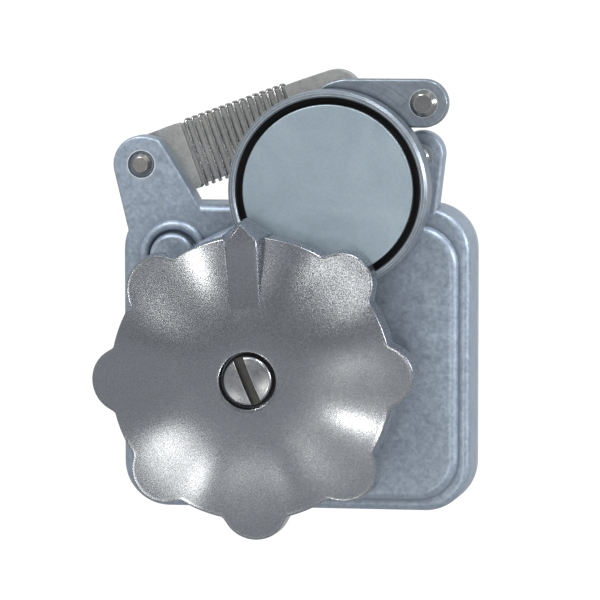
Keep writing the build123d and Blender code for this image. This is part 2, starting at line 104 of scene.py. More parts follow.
TENT_BRIGHT, TENT_DARK, TENT_SEEN = 0.66, 0.31, 1.05
OPENING_EDGE, OPENING_CORE = 62, 20      # degrees off the mirrored view
tent = bpy.data.worlds.new("tent")
tent.use_nodes = True
cloth = tent.node_tree
bearing = cloth.nodes.new("ShaderNodeTexCoord")
facing = cloth.nodes.new("ShaderNodeVectorMath")
facing.operation = "DOT_PRODUCT"
mirrored = (camera.location - AIM).normalized()
facing.inputs[1].default_value = (-mirrored.x, mirrored.y, -mirrored.z)
cloth.links.new(bearing.outputs["Generated"], facing.inputs[0])
opening = cloth.nodes.new("ShaderNodeMapRange")
opening.interpolation_type = "SMOOTHSTEP"
opening.inputs["From Min"].default_value = math.cos(math.radians(OPENING_EDGE))
opening.inputs["From Max"].default_value = math.cos(math.radians(OPENING_CORE))
opening.inputs["To Min"].default_value = TENT_BRIGHT
opening.inputs["To Max"].default_value = TENT_DARK
cloth.links.new(facing.outputs["Value"], opening.inputs["Value"])
# Seen past the floor's edge, the cloth is as white as the paper.
looked_at = cloth.nodes.new("ShaderNodeLightPath")
strength = cloth.nodes.new("ShaderNodeMix")
strength.inputs["B"].default_value = TENT_SEEN
cloth.links.new(looked_at.outputs["Is Camera Ray"], strength.inputs["Factor"])
cloth.links.new(opening.outputs["Result"], strength.inputs["A"])
cloth.nodes["Background"].inputs["Color"].default_value = (0.96, 0.98, 1.0, 1)
cloth.links.new(strength.outputs["Result"], cloth.nodes["Background"].inputs["Strength"])
bpy.context.scene.world = tent
bpy.context.scene.view_settings.view_transform = "Standard"


def soft_light(name, turn, rise, size, watts, away=0.9, colour=(1, 1, 1)):
    """A round soft box, turned to the right of the camera and raised above it, in degrees."""
    turn = CAMERA_TURN + math.radians(turn)
    rise = CAMERA_RISE + math.radians(rise)
    place = AIM + away * Vector((
        math.sin(turn) * math.cos(rise), -math.cos(turn) * math.cos(rise), math.sin(rise)))
    bpy.ops.object.light_add(type="AREA", location=place)
    light = bpy.context.object
    light.name = name
    light.data.shape = "DISK"
    light.data.size = size
    light.data.energy = watts
    light.data.color = colour
    light.rotation_euler = (AIM - place).to_track_quat("-Z", "Y").to_euler()


soft_light("high_left", -38, 46, 0.22, 4.0)
soft_light("high_right", 40, 52, 0.20, 4.0)
soft_light("far_right", 70, 8, 0.25, 4.0)

# Five small warm lamps, whose reflections lie as soft patches on the slopes of the knob. Two
# of them stand closer, clear of the floor.
WARM = (1.0, 0.95, 0.85)
soft_light("patch_upper_right", 5.8, 15.6, 0.08, 0.32, colour=WARM)
soft_light("patch_upper_left", -35.5, 16.8, 0.13, 1.0, colour=WARM)
soft_light("patch_lower_left", -41.8, -35.6, 0.085, 0.20, away=0.5, colour=WARM)
soft_light("patch_right", 9.6, -24.0, 0.13, 1.8, colour=WARM)
soft_light("patch_below", -19.0, -41.0, 0.045, 0.02, away=0.4, colour=WARM)


# ---- housing and its back plate --------------------------------------------------------
# The housing is a raw die casting in zinc: dull blue grey, mottled where the metal cooled,
# with edges rubbed bright by handling and a painted highlight, and painted shade in its grooves. The
# back plate is plated sheet, screwed on.
def node_in(tree, kind, **inputs):
    """A node of a kind, with fixed values for some of its inputs."""
    made = tree.nodes.new(kind)
    for name, value in inputs.items():
        made.inputs[name.replace("_", " ")].default_value = value
    return made


def cast_grain_group():
    """Blotches of a raw casting: a tint from 0 to 1, and a height for its pits and flow marks."""
    group = bpy.data.node_groups.new("cast_grain", "ShaderNodeTree")
    group.interface.new_socket("Blotch Scale", in_out="INPUT", socket_type="NodeSocketFloat")
    group.interface.new_socket("Grain Scale", in_out="INPUT", socket_type="NodeSocketFloat")
    group.interface.new_socket("Grain Share", in_out="INPUT", socket_type="NodeSocketFloat")
    group.interface.new_socket("Tint", in_out="OUTPUT", socket_type="NodeSocketFloat")
    group.interface.new_socket("Height", in_out="OUTPUT", socket_type="NodeSocketFloat")
    entry = group.nodes.new("NodeGroupInput")
    leave = group.nodes.new("NodeGroupOutput")
    place = group.nodes.new("ShaderNodeTexCoord")
    blotch = node_in(group, "ShaderNodeTexNoise", Detail=7.0, Roughness=0.66, Distortion=0.8)
    grain = node_in(group, "ShaderNodeTexNoise", Detail=3.0, Roughness=0.6)
    group.links.new(place.outputs["Object"], blotch.inputs["Vector"])
    group.links.new(place.outputs["Object"], grain.inputs["Vector"])
    group.links.new(entry.outputs["Blotch Scale"], blotch.inputs["Scale"])
    group.links.new(entry.outputs["Grain Scale"], grain.inputs["Scale"])
    contrast = node_in(group, "ShaderNodeMapRange")
    contrast.inputs["From Min"].default_value = 0.34
    contrast.inputs["From Max"].default_value = 0.66
    group.links.new(blotch.outputs["Fac"], contrast.inputs["Value"])
    speckle = node_in(group, "ShaderNodeMapRange")
    speckle.inputs["From Min"].default_value = 0.3
    speckle.inputs["From Max"].default_value = 0.7
    group.links.new(grain.outputs["Fac"], speckle.inputs["Value"])
    both = group.nodes.new("ShaderNodeMix")
    group.links.new(entry.outputs["Grain Share"], both.inputs["Factor"])
    group.links.new(contrast.outputs["Result"], both.inputs["A"])
    group.links.new(speckle.outputs["Result"], both.inputs["B"])
    group.links.new(both.outputs["Result"], leave.inputs["Tint"])
    group.links.new(grain.outputs["Fac"], leave.inputs["Height"])
    return group


def edge_wear_and_highlight_group():
    """Mask of the outer edges, which rub bright and carry a painted highlight, and how clear a place
    is of its neighbours, which sets how much painted shade a groove gets.
    """
    group = bpy.data.node_groups.new("edge_wear_and_highlight", "ShaderNodeTree")
    group.interface.new_socket("Width", in_out="INPUT", socket_type="NodeSocketFloat")
    group.interface.new_socket("Mask", in_out="OUTPUT", socket_type="NodeSocketFloat")
    group.interface.new_socket("Clear", in_out="OUTPUT", socket_type="NodeSocketFloat")
    entry = group.nodes.new("NodeGroupInput")
    leave = group.nodes.new("NodeGroupOutput")
    open_sky = node_in(group, "ShaderNodeAmbientOcclusion", Distance=1.2 * MM)
    open_sky.samples = 8
    open_sky.only_local = True
    clear = node_in(group, "ShaderNodeMapRange")
    clear.inputs["From Min"].default_value = 0.55
    clear.inputs["From Max"].default_value = 0.92
    group.links.new(open_sky.outputs["AO"], clear.inputs["Value"])
    group.links.new(clear.outputs["Result"], leave.inputs["Clear"])
    rounded = group.nodes.new("ShaderNodeBevel")
    rounded.samples = 6
    true = group.nodes.new("ShaderNodeNewGeometry")
    turn = group.nodes.new("ShaderNodeVectorMath")
    turn.operation = "DOT_PRODUCT"
    group.links.new(entry.outputs["Width"], rounded.inputs["Radius"])
    group.links.new(rounded.outputs["Normal"], turn.inputs[0])
    group.links.new(true.outputs["Normal"], turn.inputs[1])
    mask = node_in(group, "ShaderNodeMapRange")
    mask.inputs["From Min"].default_value = 0.995
    mask.inputs["From Max"].default_value = 0.80
    group.links.new(turn.outputs["Value"], mask.inputs["Value"])
    outer = group.nodes.new("ShaderNodeMath")
    outer.operation = "MULTIPLY"
    group.links.new(mask.outputs["Result"], outer.inputs[0])
    group.links.new(clear.outputs["Result"], outer.inputs[1])
    group.links.new(outer.outputs["Value"], leave.inputs["Mask"])
    return group


def lathe_marks_group():
    """Fine rings left by a turning tool round an axis along Y, as a tint from 0 to 1."""
    group = bpy.data.node_groups.new("lathe_marks", "ShaderNodeTree")
    group.interface.new_socket("Centre", in_out="INPUT", socket_type="NodeSocketVector")
    group.interface.new_socket("Scale", in_out="INPUT", socket_type="NodeSocketFloat")
    group.interface.new_socket("Tint", in_out="OUTPUT", socket_type="NodeSocketFloat")
    entry = group.nodes.new("NodeGroupInput")
    leave = group.nodes.new("NodeGroupOutput")
    place = group.nodes.new("ShaderNodeTexCoord")
    offset = group.nodes.new("ShaderNodeVectorMath")
    offset.operation = "SUBTRACT"
    group.links.new(place.outputs["Object"], offset.inputs[0])
    group.links.new(entry.outputs["Centre"], offset.inputs[1])
    flat = group.nodes.new("ShaderNodeVectorMath")
    flat.operation = "MULTIPLY"
    flat.inputs[1].default_value = (1, 0, 1)
    group.links.new(offset.outputs["Vector"], flat.inputs[0])
    radius = group.nodes.new("ShaderNodeVectorMath")
    radius.operation = "LENGTH"
    group.links.new(flat.outputs["Vector"], radius.inputs[0])
    rings = node_in(group, "ShaderNodeTexNoise", Detail=2.0, Roughness=0.7)
    rings.noise_dimensions = "1D"
    group.links.new(radius.outputs["Value"], rings.inputs["W"])
    group.links.new(entry.outputs["Scale"], rings.inputs["Scale"])
    group.links.new(rings.outputs["Fac"], leave.inputs["Tint"])
    return group


CAST_GRAIN = cast_grain_group()
EDGE_WEAR_AND_HIGHLIGHT = edge_wear_and_highlight_group()
LATHE_MARKS = lathe_marks_group()
RING_SCALE, RING_SHARE = 2200, 0.6
GROOVE_PAINTED_SHADE = 0.75                      # painted shade: a groove's tone against the dark tone beside it
RELIEF = 0.1


def bare_metal(name, dark, light, worn_and_highlight_tone, roughness, metallic, blotch, grain, bump,
               edge=0.4, share=0.3, turned_on=None):
    """Two tones in blotches or turned rings and a fine bump. Where a worn tone is given,
    outer edges are rubbed bright with a painted highlight on the wear, and grooves are dark with
    painted shade."""
    made = bpy.data.materials.new(name)
    made.use_nodes = True
    tree = made.node_tree
    shader = tree.nodes["Principled BSDF"]
    shader.inputs["Metallic"].default_value = metallic
    skin = tree.nodes.new("ShaderNodeGroup")
    skin.node_tree = CAST_GRAIN
    skin.inputs["Blotch Scale"].default_value = blotch
    skin.inputs["Grain Scale"].default_value = grain
    skin.inputs["Grain Share"].default_value = share
    tint, height = skin.outputs["Tint"], skin.outputs["Height"]
    if turned_on:
        marks = tree.nodes.new("ShaderNodeGroup")
        marks.node_tree = LATHE_MARKS
        marks.inputs["Centre"].default_value = (turned_on[0] * MM, 0, turned_on[1] * MM)
        marks.inputs["Scale"].default_value = RING_SCALE
        mixed = tree.nodes.new("ShaderNodeMix")
        mixed.inputs["Factor"].default_value = RING_SHARE
        tree.links.new(tint, mixed.inputs["A"])
        tree.links.new(marks.outputs["Tint"], mixed.inputs["B"])
        tint = mixed.outputs["Result"]
        height = marks.outputs["Tint"]
    tones = tree.nodes.new("ShaderNodeMix")
    tones.data_type = "RGBA"
    tones.inputs["A"].default_value = (*dark, 1)
    tones.inputs["B"].default_value = (*light, 1)
    tree.links.new(tint, tones.inputs["Factor"])
    tree.links.new(tones.outputs["Result"], shader.inputs["Base Color"])
    if worn_and_highlight_tone:
        # Outer edges lighten towards the worn tone: wear and a painted highlight.
        rub_and_highlight = tree.nodes.new("ShaderNodeGroup")
        rub_and_highlight.node_tree = EDGE_WEAR_AND_HIGHLIGHT
        rub_and_highlight.inputs["Width"].default_value = edge * MM
        bright = tree.nodes.new("ShaderNodeMix")
        bright.data_type = "RGBA"
        bright.inputs["B"].default_value = (*worn_and_highlight_tone, 1)
        tree.links.new(rub_and_highlight.outputs["Mask"], bright.inputs["Factor"])
        tree.links.new(tones.outputs["Result"], bright.inputs["A"])
        # Painted shade: where neighbours close in, the colour falls to a darker tone in the grooves.
        groove_painted_shade = tree.nodes.new("ShaderNodeMix")
        groove_painted_shade.data_type = "RGBA"
        groove_painted_shade.inputs["A"].default_value = (*[GROOVE_PAINTED_SHADE * part for part in dark], 1)
        tree.links.new(rub_and_highlight.outputs["Clear"], groove_painted_shade.inputs["Factor"])
        tree.links.new(bright.outputs["Result"], groove_painted_shade.inputs["B"])
        tree.links.new(groove_painted_shade.outputs["Result"], shader.inputs["Base Color"])
    rough = node_in(tree, "ShaderNodeMapRange")
    rough.inputs["To Min"].default_value = roughness - 0.06
    rough.inputs["To Max"].default_value = roughness + 0.08
    tree.links.new(tint, rough.inputs["Value"])
    tree.links.new(rough.outputs["Result"], shader.inputs["Roughness"])
    relief = tree.nodes.new("ShaderNodeBump")
    relief.inputs["Strength"].default_value = bump
    relief.inputs["Distance"].default_value = RELIEF * MM
    tree.links.new(height, relief.inputs["Height"])
    tree.links.new(relief.outputs["Normal"], shader.inputs["Normal"])
    return made


def finish(material, *names):
    """The material on pieces that are kept as they come."""
    for name in names:
        nodes[name].data.materials.clear()
        nodes[name].data.materials.append(material)


raw_zinc = bare_metal("raw_zinc", (0.19, 0.235, 0.30), (0.365, 0.43, 0.52), (0.80, 0.86, 0.93),
                      roughness=0.42, metallic=0.6, blotch=480, grain=1500, bump=0.35, edge=0.6,
                      share=0.45)
finish(raw_zinc, "housing")
plated_sheet = bare_metal("plated_sheet", (0.30, 0.34, 0.38), (0.42, 0.47, 0.52), (0.7, 0.74, 0.78),
                          roughness=0.40, metallic=0.7, blotch=150, grain=3000, bump=0.1)
finish(plated_sheet, "back_plate")
zinc_plate = bare_metal("zinc_plate", (0.34, 0.35, 0.34), (0.50, 0.51, 0.50), (0.85, 0.85, 0.84),
                        roughness=0.32, metallic=0.9, blotch=500, grain=4000, bump=0.12, edge=0.2)
finish(zinc_plate, "plate_screws")


# ---- spindle and what it carries inside the housing ------------------------------------
# Turned steel spindle in a bronze bush, a friction washer, the hardened snail cam with its
# clip, and the roller on its pin: machined, oiled and never seen from the front.
oiled_steel = bare_metal("oiled_steel", (0.22, 0.22, 0.22), (0.42, 0.42, 0.42), (0.8, 0.8, 0.8),
                         roughness=0.3, metallic=0.95, blotch=400, grain=4000, bump=0.12, edge=0.2)
finish(oiled_steel, "spindle", "snail_cam", "cam_clip", "cam_roller", "roller_pin", "lever_clip",
       "follower_lever", "arm_shaft", "arm_nut", "friction_washer")
bronze = bare_metal("bush_bronze", (0.35, 0.22, 0.08), (0.55, 0.38, 0.16), (0.8, 0.6, 0.3),
                    roughness=0.4, metallic=0.9, blotch=300, grain=3500, bump=0.1)
finish(bronze, "spindle_bush")


# ---- ball bearing of the arm ------------------------------------------------------------
# Ground races, balls and a pressed cage in the tower behind the cup, held by a snap ring.
ground_steel = bare_metal("ground_steel", (0.45, 0.45, 0.46), (0.62, 0.62, 0.63), (0.9, 0.9, 0.9),
                          roughness=0.16, metallic=1.0, blotch=600, grain=5000, bump=0.04, edge=0.1)
finish(ground_steel, "bearing_outer_race", "bearing_inner_race", "bearing_balls")
finish(oiled_steel, "bearing_cage", "bearing_retainer")


# ---- stop pin ----------------------------------------------------------------------------
# A pin pressed into the cast ear on the right, with a loose turned sleeve on its end. The
# arm swings clear of both.
STOP_PIN = (32.2, 44.1)
stop_steel = bare_metal("stop_steel", (0.20, 0.22, 0.25), (0.42, 0.45, 0.48), (0.9, 0.92, 0.94),
                        roughness=0.28, metallic=0.85, blotch=700, grain=4500, bump=0.15, edge=0.2,
                        turned_on=STOP_PIN)
finish(stop_steel, "stop_pin", "stop_sleeve")


# ---- swinging arm and its crank pin --------------------------------------------------------
# One zinc casting, with a cup that is turned on its rim, a lug, and a crank post behind. The
# crank pin and its clip hold the link's bar on the post.
ARM_AXIS = (14.3, 37.5)
turned_zinc = bare_metal("turned_zinc", (0.09, 0.115, 0.145), (0.29, 0.335, 0.39),
                         (0.75, 0.80, 0.85), roughness=0.36, metallic=0.7, blotch=480, grain=2000,
                         bump=0.35, edge=0.35, turned_on=ARM_AXIS)
finish(turned_zinc, "swing_arm")
finish(oiled_steel, "crank_pin", "crank_clip")


# ---- cap disc and dust seal ----------------------------------------------------------------
# A blanked disc in plated sheet closes the cup. A black rubber ring is pressed in round it.
satin_plate = bare_metal("satin_plate", (0.245, 0.31, 0.365), (0.325, 0.40, 0.46),
                         (0.85, 0.85, 0.78), roughness=0.42, metallic=0.6, blotch=70, grain=2600,
                         bump=0.08, edge=0.3, share=0.45)
finish(satin_plate, "cap_disc")
black_rubber = bare_metal("black_rubber", (0.003, 0.003, 0.003), (0.007, 0.007, 0.008),
                          (0.012, 0.012, 0.012), roughness=0.75, metallic=0.0, blotch=300,
                          grain=3000, bump=0.1)
black_rubber.node_tree.nodes["Principled BSDF"].inputs["Specular IOR Level"].default_value = 0.15
finish(black_rubber, "dust_seal")


# ---- knob ----------------------------------------------------------------------------------
# A tumbled zinc casting, hollow behind: a low dome dished towards seven finger lobes and a
# pointer. The screw sits in a recess at its middle.
RIM = 31.0                        # radius of the blank, before the lobes are drawn out of it
KNOB_BACK, KNOB_EDGE, KNOB_TOP = 25.4, 31.6, 36.25
SADDLE = 29.0                     # reach of the rim between two lobes
LOBE_RADIUS, LOBE_CENTRE = 6.6, 26.5
LOBE_TURN = math.radians(1.5)
POINTER_LOBE = 2                  # the lobe that the pointer takes the place of
DOME_START, DOME_CURVE = 6.0, 1.8
RECESS = 5.75
WALL = 2.2
EDGE_ROUND = 0.45
FACE_RINGS = 40
WAVE = 0.35                       # how far each lobe is dished
SOFT = 1.2                        # blend between a lobe and the body


def let_go():
    """Nothing selected, so that the next operators act on the new piece alone."""
    if bpy.context.mode != "OBJECT":
        bpy.ops.object.mode_set(mode="OBJECT")
    bpy.ops.object.select_all(action="DESELECT")


def turned_blank(name, profile, steps, at=(0, 0)):
    """A profile of (radius, depth) points in mm, drawn point by point and spun round Y,
    then carried to its axis at (x, z)."""
    let_go()
    bpy.context.tool_settings.mesh_select_mode = (True, False, False)
    bpy.ops.mesh.primitive_plane_add(size=0.001)
    blank = bpy.context.object
    blank.name = name
    bpy.ops.object.mode_set(mode="EDIT")
    bpy.ops.mesh.merge(type="CENTER")
    bpy.ops.transform.translate(value=(profile[0][0] * MM, -profile[0][1] * MM, 0))
    for before, after in zip(profile, profile[1:]):
        step = ((after[0] - before[0]) * MM, (before[1] - after[1]) * MM, 0)
        bpy.ops.mesh.extrude_vertices_move(TRANSFORM_OT_translate={"value": step})
    bpy.ops.mesh.select_all(action="SELECT")
    bpy.ops.mesh.spin(steps=steps, angle=2 * math.pi, center=(0, 0, 0), axis=(0, 1, 0))
    bpy.ops.mesh.select_all(action="SELECT")
    bpy.ops.mesh.remove_doubles(threshold=0.002 * MM)
    bpy.ops.mesh.normals_make_consistent(inside=False)
    bpy.ops.transform.translate(value=(at[0] * MM, 0, at[1] * MM))
    bpy.ops.object.mode_set(mode="OBJECT")
    return blank


def boolean(piece, tool, how):
    """The tool is added to the piece or cut out of it, and then thrown away."""
    step = piece.modifiers.new(how.lower(), "BOOLEAN")
    step.operation = how
    step.solver = "EXACT"
    step.object = tool
    bpy.context.view_layer.objects.active = piece
    bpy.ops.object.modifier_apply(modifier=step.name)
    bpy.data.objects.remove(tool)


def smooth_sides(piece, degrees):
    """Smooth shading, with every edge sharper than the angle kept crisp."""
    let_go()
    piece.select_set(True)
    bpy.context.view_layer.objects.active = piece
    bpy.ops.object.shade_smooth_by_angle(angle=math.radians(degrees))


def dome(radius):
    """Depth of the face before it is dished: flat in the middle, falling to the rim."""
    share = max(radius - DOME_START, 0) / (RIM - DOME_START)
    return KNOB_TOP - (KNOB_TOP - KNOB_EDGE) * share ** DOME_CURVE


def rim_reach(angle):
    """Reach of the rim at an angle: a round body with a round lobe at each eighth of a turn."""
    reach = SADDLE
    for lobe in range(8):
        off = angle - LOBE_TURN - lobe * math.pi / 4
        side = LOBE_CENTRE * math.sin(off)
        if lobe != POINTER_LOBE and math.cos(off) > 0 and abs(side) < LOBE_RADIUS:
            out = LOBE_CENTRE * math.cos(off) + math.sqrt(LOBE_RADIUS ** 2 - side ** 2)
            soft = max(SOFT - abs(out - SADDLE), 0) / SOFT
            reach = max(out, SADDLE) + soft ** 2 * SOFT / 4
    return reach


def eased(value, low, high):
    """A smooth step from 0 at the low end to 1 at the high end."""
    share = min(max((value - low) / (high - low), 0), 1)
    return share * share * (3 - 2 * share)


knob_profile = [(3.2, 33.0), (RECESS, 33.0), (RECESS, dome(RECESS) - 0.3),
                (RECESS + 0.1, dome(RECESS) - 0.08)]
face_start, face_end = RECESS + 0.35, RIM - 0.25 - EDGE_ROUND
for ring in range(FACE_RINGS + 1):
    radius = face_start + (face_end - face_start) * ring / FACE_RINGS
    knob_profile.append((radius, dome(radius)))
edge_depth = dome(face_end) - EDGE_ROUND
for step in range(1, 6):
    turn = step / 5 * math.pi / 2
    knob_profile.append((face_end + EDGE_ROUND * math.sin(turn),
                         edge_depth + EDGE_ROUND * math.cos(turn)))
knob_profile += [(RIM - 0.1, 29.0), (RIM, KNOB_BACK + 0.3), (RIM - 0.3, KNOB_BACK),
                 (RIM - WALL, KNOB_BACK), (RIM - WALL - 0.6, 28.6), (RIM - WALL - 1.6, 29.3),
                 (16.0, 31.6), (8.4, 32.0), (7.6, 31.2), (7.5, 18.4), (7.2, 18.2), (5.2, 18.2),
                 (5.0, 18.4), (5.0, 31.0), (3.2, 31.0), (3.2, 33.0)]
knob = turned_blank("finger_knob", knob_profile, 360)
for point in knob.data.vertices:
    x, z, depth = point.co.x / MM, point.co.z / MM, -point.co.y / MM
    radius, angle = math.hypot(x, z), math.atan2(z, x)
    if radius > 9.0:
        drawn = radius + (rim_reach(angle) - RIM) * eased(radius, 12.0, RIM - 1.5)
        point.co.x *= drawn / radius
        point.co.z *= drawn / radius
        if depth > 30.0:
            wave = (1 + math.cos(8 * (angle - LOBE_TURN))) / 2
            dish = WAVE * wave * eased(drawn, 9.0, 26.0)
            point.co.y += MM * (dome(radius) - dome(drawn) + dish)

# The pointer is a flat bar with drafted sides and a pointed end, cast in one with the knob.
POINTER_TURN = math.radians(92.7)
POINTER_TOP, POINTER_FOOT = 35.9, 30.4
BAR_WIDTH, BAR_FLARE = 9.6, 1.75
BAR_START, BAR_SHOULDER, BAR_TIP = 10.6, 28.9, 32.2
BAR_SKIRT = 0.6                   # straight part of the sides, below their draft
NOSE_START = 26.5                 # from here out the bar reaches down to the knob's back edge
TIP_FORWARD = 1.5                 # steeper draft on the point than on the sides
START_FALL = 0.5                  # the bar sinks into the face at its inner end
BAR_ROUND = 0.35


def pick(piece, wanted, kind="VERT"):
    """Edit mode with only the points, or only the faces, that pass the test selected."""
    bpy.ops.object.mode_set(mode="OBJECT")
    mesh = piece.data
    for part in (*mesh.vertices, *mesh.edges, *mesh.polygons):
        part.select = False
    bpy.context.tool_settings.mesh_select_mode = (kind == "VERT", False, kind == "FACE")
    for part in mesh.vertices if kind == "VERT" else mesh.polygons:
        part.select = wanted(part)
    bpy.ops.object.mode_set(mode="EDIT")


let_go()
bpy.ops.mesh.primitive_plane_add(size=1)
pointer = bpy.context.object
bpy.ops.object.mode_set(mode="EDIT")
bpy.ops.transform.resize(value=((BAR_SHOULDER - BAR_START) * MM, BAR_WIDTH * MM, 1))
bpy.ops.transform.translate(value=((BAR_SHOULDER + BAR_START) / 2 * MM, 0, 0))
bpy.ops.mesh.bisect(plane_co=(0, 0, 0), plane_no=(0, 1, 0))
pick(pointer, lambda point: abs(point.co.y) < 0.1 * MM and point.co.x > 20 * MM)
bpy.ops.transform.translate(value=((BAR_TIP - BAR_SHOULDER) * MM, 0, 0))
pick(pointer, lambda face: True, "FACE")
bpy.ops.mesh.extrude_region_move(TRANSFORM_OT_translate={"value": (0, 0, BAR_SKIRT * MM)})
pick(pointer, lambda face: face.normal.z > 0.9, "FACE")
bpy.ops.mesh.inset(thickness=BAR_FLARE * MM, depth=(POINTER_TOP - POINTER_FOOT) * MM)
pick(pointer, lambda point: (point.co.z > 2 * MM and point.co.x > 20 * MM
                             and abs(point.co.y) < 0.1 * MM))
bpy.ops.transform.translate(value=(TIP_FORWARD * MM, 0, 0))
bpy.ops.mesh.select_all(action="SELECT")
bpy.ops.mesh.bisect(plane_co=(NOSE_START * MM, 0, 0), plane_no=(1, 0, 0))
bpy.ops.mesh.select_all(action="SELECT")
bpy.ops.mesh.normals_make_consistent(inside=False)
pick(pointer, lambda face: face.normal.z < -0.9 and face.center.x > NOSE_START * MM, "FACE")
nose_depth = (KNOB_BACK + 0.7 - POINTER_FOOT) * MM
bpy.ops.mesh.extrude_region_move(TRANSFORM_OT_translate={"value": (0, 0, nose_depth)})
bar_top = (POINTER_TOP - POINTER_FOOT + BAR_SKIRT) * MM
pick(pointer, lambda face: abs(face.center.z - bar_top) < 0.1 * MM, "FACE")
bpy.ops.mesh.region_to_loop()
bpy.ops.mesh.bevel(offset=BAR_ROUND * MM, segments=4)
pick(pointer, lambda point: point.co.x < 13.5 * MM and point.co.z > 4.0 * MM)
bpy.ops.transform.translate(value=(0, 0, -START_FALL * MM))
bpy.ops.object.mode_set(mode="OBJECT")
pointer.location = (0, (BAR_SKIRT - POINTER_FOOT) * MM, 0)
pointer.rotation_euler = (math.radians(90), 0, 0)
bpy.ops.object.transform_apply(location=True, rotation=True, scale=True)
pointer.rotation_euler = (0, -POINTER_TURN, 0)
bpy.ops.object.transform_apply(location=True, rotation=True, scale=True)
boolean(knob, pointer, "UNION")

# Thin ribs stiffen the hollow back, from the hub out to the rim.
RIB_LENGTH, RIB_HEIGHT, RIB_THICKNESS = 55.0, 4.6, 1.6
for spoke in range(4):
    let_go()
    bpy.ops.mesh.primitive_cube_add(size=1,
                                    scale=(RIB_LENGTH * MM, RIB_HEIGHT * MM, RIB_THICKNESS * MM),
                                    location=(0, -(KNOB_BACK + 3.5) * MM, 0))
    rib = bpy.context.object
    bpy.ops.object.transform_apply(location=True, rotation=True, scale=True)
    bpy.ops.object.mode_set(mode="EDIT")
    bpy.ops.mesh.bevel(offset=0.3 * MM, segments=2)
    bpy.ops.object.mode_set(mode="OBJECT")
    rib.rotation_euler = (0, -LOBE_TURN - spoke * math.pi / 4, 0)
    bpy.ops.object.transform_apply(location=True, rotation=True, scale=True)
    core = turned_blank("core", [(0, 20.0), (6.0, 20.0), (6.0, 34.0), (0, 34.0)], 32)
    boolean(rib, core, "DIFFERENCE")
    boolean(knob, rib, "UNION")
smooth_sides(knob, 32)
tumbled_zinc = bare_metal("tumbled_zinc", (0.20, 0.215, 0.245), (0.27, 0.287, 0.315), None,
                          roughness=0.24, metallic=0.9, blotch=90, grain=3600, bump=0.10,
                          share=0.85)
knob.data.materials.append(tumbled_zinc)
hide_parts("knob")
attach(knob, "knob")


# ---- knob screw and washer -------------------------------------------------------------------
# A slotted steel screw with a low domed head, turned and lightly polished, holds the knob
# on its spindle. A plain washer lies under it at the bottom of the recess.
HEAD_RADIUS, HEAD_TOP, HEAD_SEAT = 5.0, 36.95, 33.8
CROWN_RADIUS, CROWN_FALL, HEAD_ROUND = 4.2, 0.5, 0.8
SLOT_WIDTH, SLOT_DEPTH = 2.1, 1.7
SLOT_TURN = math.radians(-67.5)
screw_profile = [(0, HEAD_TOP)]
for step in range(1, 9):
    screw_profile.append((CROWN_RADIUS * step / 8, HEAD_TOP - CROWN_FALL * (step / 8) ** 2))
for step in range(1, 7):
    turn = step / 6 * math.pi / 2
    screw_profile.append((CROWN_RADIUS + HEAD_ROUND * math.sin(turn),
                          HEAD_TOP - CROWN_FALL - HEAD_ROUND * (1 - math.cos(turn))))
screw_profile += [(HEAD_RADIUS, HEAD_SEAT + 0.15), (HEAD_RADIUS - 0.15, HEAD_SEAT), (2.5, HEAD_SEAT),
                  (2.5, 20.4), (2.1, 20.0), (0, 20.0)]
screw = turned_blank("slotted_screw", screw_profile, 96)
let_go()
bpy.ops.mesh.primitive_cube_add(size=1, scale=(12 * MM, 4 * MM, SLOT_WIDTH * MM),
                                rotation=(0, -SLOT_TURN, 0),
                                location=(0, -(HEAD_TOP - SLOT_DEPTH + 2.0) * MM, 0))
slot_cutter = bpy.context.object
bpy.ops.object.transform_apply(location=True, rotation=True, scale=True)
boolean(screw, slot_cutter, "DIFFERENCE")
crisp = screw.modifiers.new("broken_edges", "BEVEL")
crisp.width = 0.12 * MM
crisp.segments = 2
crisp.angle_limit = math.radians(50)
bpy.context.view_layer.objects.active = screw
bpy.ops.object.modifier_apply(modifier=crisp.name)
smooth_sides(screw, 30)
screw_steel = bare_metal("screw_steel", (0.20, 0.21, 0.228), (0.36, 0.375, 0.40), (0.8, 0.8, 0.82),
                         roughness=0.28, metallic=0.95, blotch=300, grain=4000, bump=0.04, edge=0.25)
# Painted shade: the faces inside the slot take this near-black tone.
slot_painted_shade = bare_metal("slot_painted_shade", (0.05, 0.05, 0.048), (0.10, 0.10, 0.096), (0.2, 0.2, 0.2),
                         roughness=0.5, metallic=0.7, blotch=900, grain=5000, bump=0.2, edge=0.05)
screw.data.materials.append(screw_steel)
screw.data.materials.append(slot_painted_shade)
# The slot's walls and floor get the painted shade.
for face in screw.data.polygons:
    across = face.center.x * math.sin(SLOT_TURN) - face.center.z * math.cos(SLOT_TURN)
    if face.center.y > -(HEAD_TOP - 0.55) * MM and abs(across) < (SLOT_WIDTH / 2 + 0.01) * MM:
        if face.center.y < -(HEAD_TOP - SLOT_DEPTH - 0.1) * MM:
            face.material_index = 1
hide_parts("knob_screw")
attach(screw, "knob")
# The washer is near black: painted shade in the ring round the screw head, at the bottom of the
# recess.
washer_painted_shade = bare_metal("washer_painted_shade", (0.03, 0.03, 0.032), (0.06, 0.06, 0.062), (0.2, 0.2, 0.2),
                         roughness=0.5, metallic=0.8, blotch=500, grain=4000, bump=0.1, edge=0.1)
finish(washer_painted_shade, "knob_washer")


